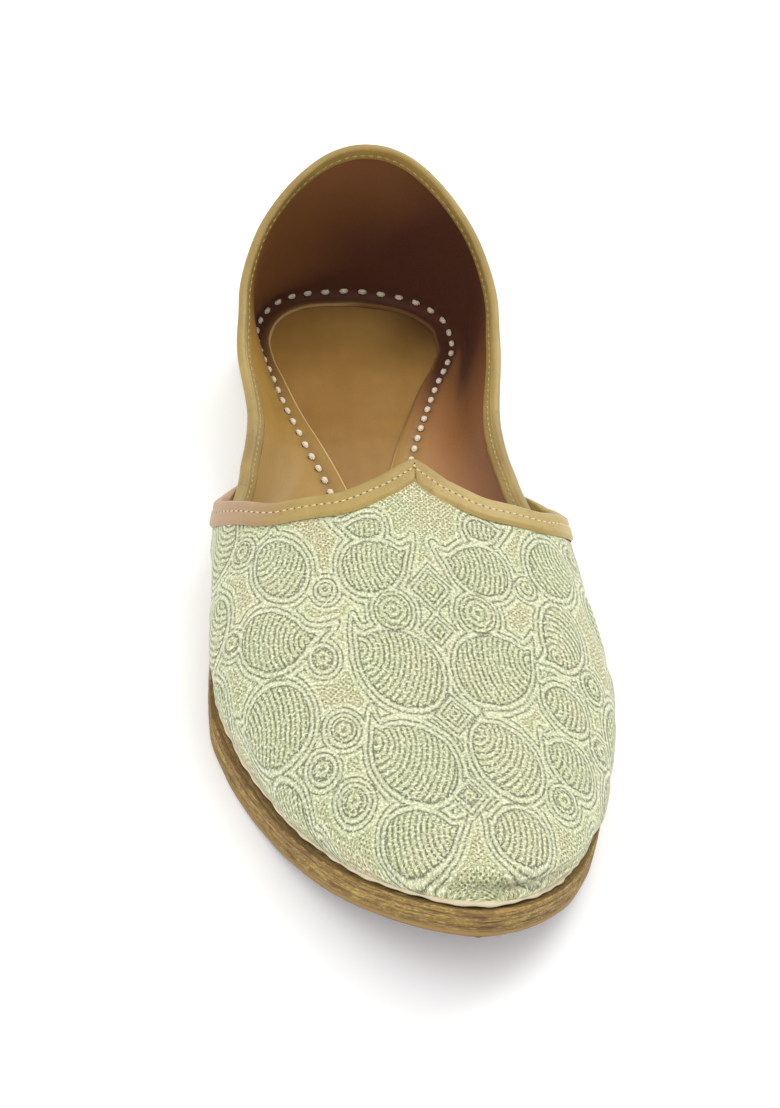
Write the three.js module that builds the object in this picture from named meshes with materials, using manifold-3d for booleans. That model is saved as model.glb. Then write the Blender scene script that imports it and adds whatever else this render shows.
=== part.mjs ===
// A right-foot mojari: a low slip-on shoe with a closed, lightly pointed vamp and a deep open back.
// Millimetres, +Z up, toe towards -Y, +X is the inner (big toe) side.
// The origin is on the floor, under the middle of the heel's flat spot.

import * as THREE from 'three';
import { mergeVertices } from 'three/addons/utils/BufferGeometryUtils.js';
import Module from 'manifold-3d';

const wasm = await Module();
wasm.setup();

// ---- Driving sizes -------------------------------------------------------------------------

const LENGTH = 280;          // sole, heel back to toe tip
const HEEL_REST = 36;        // origin, forward of the heel's back
const WALL = 2;              // upper: cloth, backing and leather lining together
const GAP = 0.3;             // clearance between pieces that meet
const OUTSOLE = 1.5;         // bottom sheet of dark leather
const INSOLE = 1.8;          // footbed leather
const HEEL_ROUND = 33;       // length of the heel's round end
const HEEL_POWER = 2.1;      // fullness of that end: 2 is an ellipse
const TOE_ROUND = 78;        // length of the toe's round end
const TOE_POWER = 1.4;       // under 2 brings the toe to a soft point
const TOE_ROOT = 0.55;       // 0.5 rounds the very tip off, more sharpens it
const VAMP_INSET = 2;        // vamp's seam line, inside the sole's edge
const SKIRT = 0.2;           // share of the half arch below its widest place
const WIDEST = 0.3;          // height of the widest place, as a share of the crown
const SWELL_POWER = 1.35;    // how long the side stays upright above the seam
const ARCH_POWER = 2.25;     // squareness of the vamp's cross-section
const CROWN_ROUND = 50;      // length over which the toe's height rounds off
const FLAT_FOOT = 5;         // height over which the lining turns upright at the sole
const LEAN_POWER = 1.6;      // how late the quarter's wall leans, up from the seam
const QUARTER_FRONT = 152;   // front ends of the quarter, inside the vamp
const TOE_CLEARANCE = 1.2;   // extra room for the footbed's tip under the toe

const LATERAL = -1;
const MEDIAL = 1;

// Sole in plan and side view. `at` is forward of the heel's back, `centre` the sideways place of
// the middle, `half` the half width, `lift` the height of the underside, `seat` of the top.
const SOLE = [
  { at: 0, centre: 0, half: 34.5, lift: 0, seat: 7.6 },
  { at: 30, centre: 0.8, half: 35, lift: 0, seat: 7.6 },
  { at: 60, centre: 1.4, half: 30, lift: 0, seat: 7.6 },
  { at: 92, centre: 1, half: 26.5, lift: 2.6, seat: 8.8 },
  { at: 120, centre: 0, half: 31.5, lift: 2, seat: 8.8 },
  { at: 150, centre: -1, half: 40.5, lift: 0, seat: 7.6 },
  { at: 200, centre: 1, half: 45.4, lift: 0, seat: 7.4 },
  { at: 218, centre: 2.8, half: 45.6, lift: 0, seat: 7.4 },
  { at: 236, centre: 4.8, half: 45.6, lift: 1.4, seat: 8.6 },
  { at: 256, centre: 6.5, half: 45.6, lift: 6.6, seat: 13.8 },
  { at: 280, centre: 8, half: 45.6, lift: 18, seat: 25.2 },
];

// Vamp, across stations of the foot. `crown` is the ridge's height over the seam line, `skew` the
// ridge's offset from the sole's middle, and each swell how far the side stands out past its seam.
const VAMP = [
  { at: 104, crown: 38, skew: 4.6, lateralSwell: 13, medialSwell: 13 },
  { at: 130, crown: 38, skew: 4.6, lateralSwell: 9, medialSwell: 11.5 },
  { at: 150, crown: 37.3, skew: 4.6, lateralSwell: 5.5, medialSwell: 9 },
  { at: 175, crown: 32.5, skew: 4.6, lateralSwell: 3, medialSwell: 6.5 },
  { at: 200, crown: 27.5, skew: 4.6, lateralSwell: 2, medialSwell: 4.8 },
  { at: 225, crown: 23.5, skew: 4, lateralSwell: 2.4, medialSwell: 4 },
  { at: 250, crown: 20, skew: 2.8, lateralSwell: 3, medialSwell: 3.6 },
  { at: 280, crown: 15, skew: 0, lateralSwell: 3, medialSwell: 3.4 },
];

// Throat edge of the vamp. `rise` runs from the seam line (0) up the side to the ridge (1).
const THROAT = [
  { rise: 0, lateral: 104, medial: 104 },
  { rise: 0.1, lateral: 119, medial: 119.5 },
  { rise: 0.2, lateral: 133.5, medial: 133 },
  { rise: 0.3, lateral: 143, medial: 143.5 },
  { rise: 0.4, lateral: 149.5, medial: 150.5 },
  { rise: 0.5, lateral: 155, medial: 155.5 },
  { rise: 0.65, lateral: 161, medial: 160.5 },
  { rise: 0.8, lateral: 161.5, medial: 161.5 },
  { rise: 0.92, lateral: 157, medial: 157.5 },
  { rise: 1, lateral: 149.7, medial: 149.7 },
];

// Quarter, round the heel. `topline` is the collar's height, each lean how far the collar stands out
// past the seam line, `swell` the belly between them, `inset` the seam line inside the sole's edge.
const QUARTER = [
  { at: 0, topline: 70.5, lateralLean: -18.5, medialLean: -18.5, swell: 2, inset: 1.2 },
  { at: 10, topline: 65.6, lateralLean: -13.6, medialLean: -14, swell: 2, inset: 1.2 },
  { at: 28, topline: 52.4, lateralLean: -4, medialLean: -4.4, swell: 1.8, inset: 1.2 },
  { at: 50, topline: 35, lateralLean: 7.8, medialLean: 6.4, swell: 1, inset: 1.2 },
  { at: 72, topline: 25.6, lateralLean: 11.2, medialLean: 9, swell: 0.4, inset: 1.4 },
  { at: 95, topline: 21, lateralLean: 10.5, medialLean: 9.5, swell: 0, inset: 2 },
  { at: 115, topline: 19, lateralLean: 8.5, medialLean: 8.5, swell: 0, inset: 2.5 },
  { at: 138, topline: 18.5, lateralLean: 4.5, medialLean: 6, swell: 0, inset: 2.5 },
  { at: 152, topline: 17, lateralLean: 3.5, medialLean: 5, swell: 0, inset: 2.5 },
];

// ---- Curves through the tables -------------------------------------------------------------

// A smooth curve through one column that never overshoots, so level stretches stay level.
function curve(rows, column, by = 'at') {
  const x = rows.map((row) => row[by]);
  const y = rows.map((row) => row[column]);
  const slopes = x.slice(1).map((end, i) => (y[i + 1] - y[i]) / (end - x[i]));
  const tangents = x.map((_, i) => {
    const before = slopes[Math.max(0, i - 1)];
    const after = slopes[Math.min(slopes.length - 1, i)];
    return before * after <= 0 ? 0 : (2 * before * after) / (before + after);
  });
  return (value) => {
    const v = THREE.MathUtils.clamp(value, x[0], x[x.length - 1]);
    const i = Math.max(0, x.findLastIndex((start) => start <= v && start < x[x.length - 1]));
    const span = x[i + 1] - x[i];
    const t = (v - x[i]) / span;
    const ease = t * t * (3 - 2 * t);
    const start = y[i] + (y[i + 1] - y[i]) * ease;
    const bend = tangents[i] * t * (1 - t) ** 2 - tangents[i + 1] * t * t * (1 - t);
    return start + bend * span;
  };
}

const sole = {
  centre: curve(SOLE, 'centre'),
  half: curve(SOLE, 'half'),
  lift: curve(SOLE, 'lift'),
  seat: curve(SOLE, 'seat'),
};
const vamp = {
  crown: curve(VAMP, 'crown'),
  skew: curve(VAMP, 'skew'),
  swell: { [LATERAL]: curve(VAMP, 'lateralSwell'), [MEDIAL]: curve(VAMP, 'medialSwell') },
  throat: {
    [LATERAL]: curve(THROAT, 'lateral', 'rise'),
    [MEDIAL]: curve(THROAT, 'medial', 'rise'),
  },
};
const quarter = {
  topline: curve(QUARTER, 'topline'),
  lean: { [LATERAL]: curve(QUARTER, 'lateralLean'), [MEDIAL]: curve(QUARTER, 'medialLean') },
  swell: curve(QUARTER, 'swell'),
  inset: curve(QUARTER, 'inset'),
};

function place(at, side, height) {
  return new THREE.Vector3(side, HEEL_REST - at, height);
}

// Width factor of a round end: 1 away from it, falling to 0 at its tip.
function roundEnd(fromTip, length, power, root = 1 / power) {
  const u = THREE.MathUtils.clamp(1 - fromTip / length, 0, 1);
  return (1 - u ** power) ** root;
}

function fullness(at, inset) {
  const heel = roundEnd(at - inset, HEEL_ROUND, HEEL_POWER);
  const toe = roundEnd(LENGTH - inset - at, TOE_ROUND, TOE_POWER, TOE_ROOT);
  return heel * toe;
}

// Sideways place of the sole's edge, moved in by `inset`.
function edge(at, side, inset) {
  return sole.centre(at) + side * (sole.half(at) - inset) * fullness(at, inset);
}

function seamHeight(at) {
  return sole.seat(at) + GAP;
}

// ---- Surfaces ------------------------------------------------------------------------------

// Outer face of the vamp over one station: up from the seam line, out to the widest place, and
// over to the ridge.
function archPoint(at, side, rise) {
  const tip = LENGTH - VAMP_INSET;
  const crown = vamp.crown(at) * roundEnd(tip - at, CROWN_ROUND, 2);
  const seam = edge(at, side, VAMP_INSET);
  const wide = seam + side * vamp.swell[side](at) * fullness(at, VAMP_INSET);
  const ridge = sole.centre(at) + vamp.skew(at) * fullness(at, VAMP_INSET);
  const low = seamHeight(at);
  const mid = low + WIDEST * crown;
  if (rise < SKIRT) {
    const t = rise / SKIRT;
    const bulge = Math.sin((t * Math.PI) / 2) ** SWELL_POWER;
    return place(at, seam + (wide - seam) * bulge, low + (mid - low) * t);
  }
  const angle = ((rise - SKIRT) / (1 - SKIRT)) * (Math.PI / 2);
  const out = Math.max(0, Math.cos(angle)) ** (2 / ARCH_POWER);
  const up = Math.sin(angle) ** (2 / ARCH_POWER);
  return place(at, ridge + (wide - ridge) * out, mid + (low + crown - mid) * up);
}

// `along` runs from the throat (0) to the toe tip (1); `across` from the lateral seam (-1) over
// the ridge (0) to the medial seam (1).
function vampPoint(along, across) {
  const side = across < 0 ? LATERAL : MEDIAL;
  const rise = 1 - Math.abs(across);
  const start = vamp.throat[side](rise);
  const tip = LENGTH - VAMP_INSET;
  const at = tip - (tip - start) * (1 - along) ** 1.5;
  return archPoint(at, side, rise);
}

// `round` runs from the lateral front end (-1) about the heel (0) to the medial front end (1).
function quarterSeam(round) {
  const side = round < 0 ? LATERAL : MEDIAL;
  const start = quarter.inset(0);
  const at = start + (QUARTER_FRONT - start) * round * round;
  return place(at, edge(at, side, quarter.inset(at)), seamHeight(at));
}

function quarterOutward(round) {
  const step = 0.004;
  const back = quarterSeam(Math.max(-1, round - step));
  const front = quarterSeam(Math.min(1, round + step));
  const along = front.sub(back);
  return new THREE.Vector3(-along.y, along.x, 0).normalize();
}

// Outer face of the quarter, `up` from the seam line (0) to the topline (1).
function quarterPoint(round, up) {
  const side = round < 0 ? LATERAL : MEDIAL;
  const seam = quarterSeam(round);
  const at = HEEL_REST - seam.y;
  const belly = quarter.swell(at) * Math.sin(Math.PI * up ** 0.85);
  const out = quarter.lean[side](at) * up ** LEAN_POWER + belly;
  const point = seam.clone().addScaledVector(quarterOutward(round), out);
  point.z = seam.z + (quarter.topline(at) - seam.z) * up;
  return point;
}

// ---- Solids --------------------------------------------------------------------------------

// Triangles of a grid of points, rows by columns, facing right-handed from rows to columns.
function gridFaces(rows, flip) {
  const faces = [];
  for (let r = 0; r + 1 < rows.length; r += 1) {
    for (let c = 0; c + 1 < rows[r].length; c += 1) {
      const [a, b] = [rows[r][c], rows[r][c + 1]];
      const [d, e] = [rows[r + 1][c], rows[r + 1][c + 1]];
      faces.push(flip ? [a, b, e] : [a, e, b], flip ? [a, e, d] : [a, d, e]);
    }
  }
  return faces;
}

// One closed body from faces of points; coincident points become one and empty faces go.
function solidFrom(faces) {
  const flat = new THREE.BufferGeometry();
  const values = faces.flat().flatMap((p) => [p.x, p.y, p.z]);
  flat.setAttribute('position', new THREE.Float32BufferAttribute(values, 3));
  const merged = mergeVertices(flat, 1e-4);
  const index = Array.from(merged.index.array);
  const kept = [];
  for (let i = 0; i < index.length; i += 3) {
    const [a, b, c] = index.slice(i, i + 3);
    if (a !== b && b !== c && c !== a) kept.push(a, b, c);
  }
  return new wasm.Manifold(new wasm.Mesh({
    numProp: 3,
    vertProperties: new Float32Array(merged.attributes.position.array),
    triVerts: new Uint32Array(kept),
  }));
}

// A wall between an outer and an inner grid of points of one size, closed all round its rim.
function wallBetween(outer, inner) {
  const last = outer.length - 1;
  const end = outer[0].length - 1;
  const column = (grid, c) => grid.map((row) => row[c]);
  return solidFrom([
    ...gridFaces(outer, false),
    ...gridFaces(inner, true),
    ...gridFaces([outer[0], inner[0]], true),
    ...gridFaces([outer[last], inner[last]], false),
    ...gridFaces([column(outer, 0), column(inner, 0)], false),
    ...gridFaces([column(outer, end), column(inner, end)], true),
  ]);
}

// The lining face of an outer grid: moved in by the wall, level with the floor at the seam. The
// toe tip, where a row shrinks to a point, moves straight back.
function liningOf(grid) {
  return grid.map((row, r) => row.map((point, c) => {
    const before = grid[Math.max(0, r - 1)][c];
    const after = grid[Math.min(grid.length - 1, r + 1)][c];
    const left = row[Math.max(0, c - 1)];
    const right = row[Math.min(row.length - 1, c + 1)];
    const normal = after.clone().sub(before).cross(right.clone().sub(left));
    if (normal.lengthSq() < 1e-8) normal.set(0, -1, 0);
    const height = point.z - seamHeight(HEEL_REST - point.y);
    normal.normalize();
    normal.z *= THREE.MathUtils.smoothstep(height, 0, FLAT_FOOT);
    return point.clone().addScaledVector(normal.normalize(), -WALL);
  }));
}

function makeVamp() {
  const rows = 27;
  const halfColumns = 19;
  const outer = [];
  for (let r = 0; r <= rows; r += 1) {
    const row = [];
    for (let c = -halfColumns; c <= halfColumns; c += 1) row.push(vampPoint(r / rows, c / halfColumns));
    outer.push(row);
  }
  return wallBetween(outer, liningOf(outer));
}

function makeQuarter() {
  const halfColumns = 34;
  const rows = 8;
  const outer = [];
  for (let c = halfColumns; c >= -halfColumns; c -= 1) {
    const column = [];
    for (let r = 0; r <= rows; r += 1) column.push(quarterPoint(c / halfColumns, r / rows));
    outer.push(column);
  }
  return wallBetween(outer, liningOf(outer));
}

// A flat layer with the sole's outline: `inset`, `bottom` and `top` are functions of the station.
function makeLayer(inset, bottom, top) {
  const stations = 56;
  const start = inset(0);
  const end = LENGTH - inset(LENGTH);
  const [under, over] = [[], []];
  for (let i = 0; i <= stations; i += 1) {
    const at = start + (end - start) * (1 - Math.cos((Math.PI * i) / stations)) / 2;
    const sides = [LATERAL, MEDIAL].map((side) => edge(at, side, inset(at)));
    under.push(sides.map((x) => place(at, x, bottom(at))));
    over.push(sides.map((x) => place(at, x, top(at))));
  }
  return wallBetween(over, under);
}

function footbedInset(at) {
  const behind = quarter.inset(at);
  const ahead = VAMP_INSET + TOE_CLEARANCE * THREE.MathUtils.smoothstep(at, LENGTH - TOE_ROUND, LENGTH);
  const blend = THREE.MathUtils.smoothstep(at, QUARTER_FRONT, QUARTER_FRONT + 12);
  return THREE.MathUtils.lerp(behind, ahead, blend) + WALL + GAP;
}

// ---- The shoe ------------------------------------------------------------------------------

function meshOf(name, solid, color, roughness) {
  const { vertProperties, triVerts } = solid.getMesh();
  const geometry = new THREE.BufferGeometry();
  geometry.setAttribute('position', new THREE.BufferAttribute(vertProperties, 3));
  geometry.setIndex(new THREE.BufferAttribute(triVerts, 1));
  geometry.computeVertexNormals();
  const material = new THREE.MeshStandardMaterial({ color, roughness, metalness: 0 });
  const mesh = new THREE.Mesh(geometry, material);
  mesh.name = name;
  return mesh;
}

const shoe = new THREE.Group();
shoe.name = 'mojari';

// The vamp laps over the quarter's front ends and is sewn to them along the seam line only, so a
// slit stays open between them above it.
shoe.add(meshOf('upper', makeVamp().add(makeQuarter()), 0xd9d8b8, 0.75));

shoe.add(meshOf('insole', makeLayer(
  footbedInset,
  (at) => sole.seat(at) + GAP,
  (at) => sole.seat(at) + GAP + INSOLE,
), 0xb98345, 0.6));

shoe.add(meshOf('midsole', makeLayer(
  () => 0,
  (at) => sole.lift(at) + OUTSOLE + GAP,
  sole.seat,
), 0xb28a57, 0.7));

shoe.add(meshOf('outsole', makeLayer(
  () => 0,
  sole.lift,
  (at) => sole.lift(at) + OUTSOLE,
), 0x5a2a22, 0.6));

export default shoe;
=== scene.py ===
"""The looks of a right-foot mojari: brocade vamp and quarter, leather bindings, lining, footbed and
stacked sole. Lengths in this script are millimetres until a mesh is made; +X is the inner side."""
import math

import bpy
import numpy as np
from mathutils import Matrix, Vector


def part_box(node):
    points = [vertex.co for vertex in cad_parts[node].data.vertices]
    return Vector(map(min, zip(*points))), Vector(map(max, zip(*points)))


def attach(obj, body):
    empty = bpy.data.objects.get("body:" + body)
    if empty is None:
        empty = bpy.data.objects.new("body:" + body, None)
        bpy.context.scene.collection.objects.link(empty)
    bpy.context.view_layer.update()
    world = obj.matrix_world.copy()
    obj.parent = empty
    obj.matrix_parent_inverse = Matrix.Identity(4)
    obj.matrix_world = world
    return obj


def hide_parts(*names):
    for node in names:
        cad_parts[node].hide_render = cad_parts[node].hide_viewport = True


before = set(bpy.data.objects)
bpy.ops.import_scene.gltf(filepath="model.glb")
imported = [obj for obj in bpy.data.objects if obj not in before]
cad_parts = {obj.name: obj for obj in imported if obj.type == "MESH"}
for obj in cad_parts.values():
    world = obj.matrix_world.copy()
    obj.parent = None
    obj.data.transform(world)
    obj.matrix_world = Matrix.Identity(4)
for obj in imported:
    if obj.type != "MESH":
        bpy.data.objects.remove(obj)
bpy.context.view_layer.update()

MM = 0.001
LATERAL, MEDIAL = -1, 1
UP = np.array([0, 0, 1.0])

# ---- The shoe's sizes ----------------------------------------------------------------------

SOLE_LOW, SOLE_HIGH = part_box("outsole")
LENGTH = (SOLE_HIGH.y - SOLE_LOW.y) / MM      # sole, heel back to toe tip
HEEL_REST = SOLE_HIGH.y / MM                  # origin, forward of the heel's back
WALL = 2.0                                    # cloth, backing and lining together
LINING_DEPTH = WALL - 0.1                     # lining's face, below the cloth's
CLOTH_SUNK = 0.15                             # cloth's ground, below the wall's face
GAP = 0.3                                     # clearance between pieces that meet
OUTSOLE = 1.5
INSOLE = 1.8
HEEL_ROUND, HEEL_POWER = 33.0, 2.1
TOE_ROUND, TOE_POWER, TOE_ROOT = 78.0, 1.4, 0.55
VAMP_INSET = 2.0
SKIRT, WIDEST = 0.2, 0.3
SWELL_POWER, ARCH_POWER = 1.35, 2.25
CROWN_ROUND = 50.0
LEAN_POWER = 1.6
QUARTER_FRONT = 152.0
TOE_CLEARANCE = 1.2


def table(columns, *rows):
    """Named columns of a short table, each as an array."""
    return dict(zip(columns.split(), np.array(rows, float).T))


SOLE = table(
    "at centre half lift seat",
    (0, 0, 34.5, 0, 7.6),
    (30, 0.8, 35, 0, 7.6),
    (60, 1.4, 30, 0, 7.6),
    (92, 1, 26.5, 2.6, 8.8),
    (120, 0, 31.5, 2, 8.8),
    (150, -1, 40.5, 0, 7.6),
    (200, 1, 45.4, 0, 7.4),
    (218, 2.8, 45.6, 0, 7.4),
    (236, 4.8, 45.6, 1.4, 8.6),
    (256, 6.5, 45.6, 6.6, 13.8),
    (280, 8, 45.6, 18, 25.2),
)
VAMP = table(
    "at crown skew lateral medial",
    (104, 38, 4.6, 13, 13),
    (130, 38, 4.6, 9, 11.5),
    (150, 37.3, 4.6, 5.5, 9),
    (175, 32.5, 4.6, 3, 6.5),
    (200, 27.5, 4.6, 2, 4.8),
    (225, 23.5, 4, 2.4, 4),
    (250, 20, 2.8, 3, 3.6),
    (280, 15, 0, 3, 3.4),
)
THROAT = table(
    "rise lateral medial",
    (0, 104, 104),
    (0.1, 119, 119.5),
    (0.2, 133.5, 133),
    (0.3, 143, 143.5),
    (0.4, 149.5, 150.5),
    (0.5, 155, 155.5),
    (0.65, 161, 160.5),
    (0.8, 161.5, 161.5),
    (0.92, 157, 157.5),
    (1, 149.7, 149.7),
)
QUARTER = table(
    "at topline lateral medial swell inset",
    (0, 70.5, -18.5, -18.5, 2, 1.2),
    (10, 65.6, -13.6, -14, 2, 1.2),
    (28, 52.4, -4, -4.4, 1.8, 1.2),
    (50, 35, 7.8, 6.4, 1, 1.2),
    (72, 25.6, 11.2, 9, 0.4, 1.4),
    (95, 21, 10.5, 9.5, 0, 2),
    (115, 19, 8.5, 8.5, 0, 2.5),
    (138, 18.5, 4.5, 6, 0, 2.5),
    (152, 17, 3.5, 5, 0, 2.5),
)


def curve(rows, column, by="at"):
    """A smooth curve through one column that never overshoots."""
    x, y = rows[by], rows[column]
    slopes = np.diff(y) / np.diff(x)
    before = np.concatenate([slopes[:1], slopes])
    after = np.concatenate([slopes, slopes[-1:]])
    level = before * after <= 0
    tangents = np.where(level, 0, 2 * before * after / np.where(level, 1, before + after))

    def value(at):
        at = np.clip(at, x[0], x[-1])
        i = np.clip(np.searchsorted(x, at, side="right") - 1, 0, len(x) - 2)
        span = x[i + 1] - x[i]
        t = (at - x[i]) / span
        bend = tangents[i] * t * (1 - t) ** 2 - tangents[i + 1] * t * t * (1 - t)
        return y[i] + (y[i + 1] - y[i]) * t * t * (3 - 2 * t) + bend * span

    return value


def sided(rows, by="at"):
    """The lateral and medial columns as one function of place and side (-1 or 1)."""
    lateral, medial = curve(rows, "lateral", by), curve(rows, "medial", by)
    return lambda at, side: np.where(side < 0, lateral(at), medial(at))


sole_centre, sole_half = curve(SOLE, "centre"), curve(SOLE, "half")
sole_lift, sole_seat = curve(SOLE, "lift"), curve(SOLE, "seat")
vamp_crown, vamp_skew, vamp_swell = curve(VAMP, "crown"), curve(VAMP, "skew"), sided(VAMP)
throat_at = sided(THROAT, "rise")
topline, quarter_lean = curve(QUARTER, "topline"), sided(QUARTER)
quarter_swell, quarter_inset = curve(QUARTER, "swell"), curve(QUARTER, "inset")


def smoothstep(x, low, high):
    t = np.clip((x - low) / (high - low), 0, 1)
    return t * t * (3 - 2 * t)


def bell(x, centre, width):
    return np.exp(-(((x - centre) / width) ** 2))


def place(at, side, height):
    at, side, height = np.broadcast_arrays(at, side, height)
    return np.stack([side, HEEL_REST - at, height], axis=-1)


def station(points):
    return HEEL_REST - points[..., 1]


def side_of(value):
    return np.where(value < 0, LATERAL, MEDIAL)


def unit(vectors):
    return vectors / np.maximum(np.linalg.norm(vectors, axis=-1, keepdims=True), 1e-9)


def facing(vectors, towards):
    """Vectors, turned round where they point away from `towards`."""
    return vectors * np.sign(np.sum(vectors * towards, axis=-1, keepdims=True) + 1e-9)


def round_end(from_tip, length, power, root=None):
    u = np.clip(1 - from_tip / length, 0, 1)
    return (1 - u**power) ** (root or 1 / power)


def fullness(at, inset):
    heel = round_end(at - inset, HEEL_ROUND, HEEL_POWER)
    return heel * round_end(LENGTH - inset - at, TOE_ROUND, TOE_POWER, TOE_ROOT)


def edge(at, side, inset):
    return sole_centre(at) + side * (sole_half(at) - inset) * fullness(at, inset)


def seam_height(at):
    return sole_seat(at) + GAP


def footbed_height(at):
    return sole_seat(at) + GAP + INSOLE


def arch_point(at, side, rise):
    """Vamp's outer face over one station, from the seam line (rise 0) to the ridge (rise 1)."""
    crown = vamp_crown(at) * round_end(LENGTH - VAMP_INSET - at, CROWN_ROUND, 2)
    seam = edge(at, side, VAMP_INSET)
    wide = seam + side * vamp_swell(at, side) * fullness(at, VAMP_INSET)
    ridge = sole_centre(at) + vamp_skew(at) * fullness(at, VAMP_INSET)
    low = seam_height(at)
    mid = low + WIDEST * crown
    skirt = np.clip(rise / SKIRT, 0, 1)
    bulge = np.sin(skirt * np.pi / 2) ** SWELL_POWER
    angle = np.clip((rise - SKIRT) / (1 - SKIRT), 0, 1) * np.pi / 2
    out = np.maximum(0, np.cos(angle)) ** (2 / ARCH_POWER)
    up = np.sin(angle) ** (2 / ARCH_POWER)
    on_skirt = rise < SKIRT
    x = np.where(on_skirt, seam + (wide - seam) * bulge, ridge + (wide - ridge) * out)
    z = np.where(on_skirt, low + (mid - low) * skirt, mid + (low + crown - mid) * up)
    return place(at, x, z)


def vamp_at(along, across):
    """Station of a point of the vamp: `along` from throat 0 to toe 1, `across` -1 to 1."""
    tip = LENGTH - VAMP_INSET
    start = throat_at(1 - np.abs(across), np.sign(across))
    return tip - (tip - start) * (1 - np.clip(along, 0, 1)) ** 1.5


def vamp_point(along, across):
    return arch_point(vamp_at(along, across), side_of(across), 1 - np.abs(across))


def quarter_at(turn):
    start = quarter_inset(0)
    return start + (QUARTER_FRONT - start) * turn * turn


def quarter_seam(turn):
    """Seam line: `turn` from the lateral front end -1 about the heel 0 to the medial end 1."""
    at = quarter_at(turn)
    return place(at, edge(at, side_of(turn), quarter_inset(at)), seam_height(at))


def quarter_outward(turn):
    step = 0.004
    along = quarter_seam(np.minimum(1, turn + step)) - quarter_seam(np.maximum(-1, turn - step))
    return unit(np.stack([-along[..., 1], along[..., 0], np.zeros_like(along[..., 0])], axis=-1))


def quarter_point(turn, up):
    """Quarter's outer face, `up` from the seam line 0 to the topline 1."""
    turn, up = np.broadcast_arrays(turn, up)
    at = quarter_at(turn)
    rise = np.clip(up, 0, 1)
    belly = quarter_swell(at) * np.sin(np.pi * rise**0.85)
    out = quarter_lean(at, side_of(turn)) * rise**LEAN_POWER + belly
    point = quarter_seam(turn) + quarter_outward(turn) * out[..., None]
    point[..., 2] = seam_height(at) + (topline(at) - seam_height(at)) * up
    return point


# ---- Meshes --------------------------------------------------------------------------------


def grid_faces(rows, columns):
    """Quads of a grid of points, facing right-handed from rows to columns."""
    index = np.arange(rows * columns).reshape(rows, columns)
    corners = index[:-1, :-1], index[1:, :-1], index[1:, 1:], index[:-1, 1:]
    return np.stack(corners, axis=-1).reshape(-1, 4)


def grid_normals(points):
    normals = np.cross(np.gradient(points, axis=0), np.gradient(points, axis=1))
    normals[np.linalg.norm(normals, axis=-1) < 1e-7] = (0, -1, 0)
    return unit(normals)


def arc_length(points, axis):
    """Distance along one axis of a grid of points, from its first row or column."""
    steps = np.linalg.norm(np.diff(points, axis=axis), axis=-1)
    start = np.zeros_like(np.take(steps, [0], axis=axis))
    return np.concatenate([start, np.cumsum(steps, axis=axis)], axis=axis)


def add_object(name, data):
    obj = bpy.data.objects.new(name, data)
    bpy.context.scene.collection.objects.link(obj)
    return obj


def piece(name, points, faces, material, slot, hides=("upper",), attributes=None, uv=None, sharp=None):
    """A smooth mesh in millimetres as an object in metres that rides on the shoe."""
    points = np.asarray(points, np.float32).reshape(-1, 3)
    faces = np.asarray(faces, np.int32)
    mesh = bpy.data.meshes.new(name)
    mesh.vertices.add(len(points))
    mesh.vertices.foreach_set("co", (points * MM).ravel())
    mesh.loops.add(faces.size)
    mesh.loops.foreach_set("vertex_index", faces.ravel())
    mesh.polygons.add(len(faces))
    mesh.polygons.foreach_set("loop_start", np.arange(0, faces.size, faces.shape[1], dtype=np.int32))
    mesh.polygons.foreach_set("use_smooth", np.ones(len(faces), bool))
    mesh.update(calc_edges=True)
    if uv is not None:
        corners = np.asarray(uv, np.float32).reshape(-1, 2)[faces.ravel()]
        mesh.uv_layers.new(name="cloth").data.foreach_set("uv", corners.ravel())
    for key, values in (attributes or {}).items():
        attribute = mesh.attributes.new(key, "FLOAT", "POINT")
        attribute.data.foreach_set("value", np.asarray(values, np.float32).ravel())
    mesh.validate()
    if sharp is not None:
        mesh.set_sharp_from_angle(angle=math.radians(sharp))
    mesh.materials.append(material)
    obj = add_object(name, mesh)
    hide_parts(*hides)
    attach(obj, "root")


def sheet(name, grid, material, slot, flipped=False, **more):
    """A piece from a grid of points; `flipped` turns its faces round."""
    faces = grid_faces(*grid.shape[:2])
    piece(name, grid, faces[:, ::-1] if flipped else faces, material, slot, **more)


# ---- Node materials ------------------------------------------------------------------------


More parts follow.
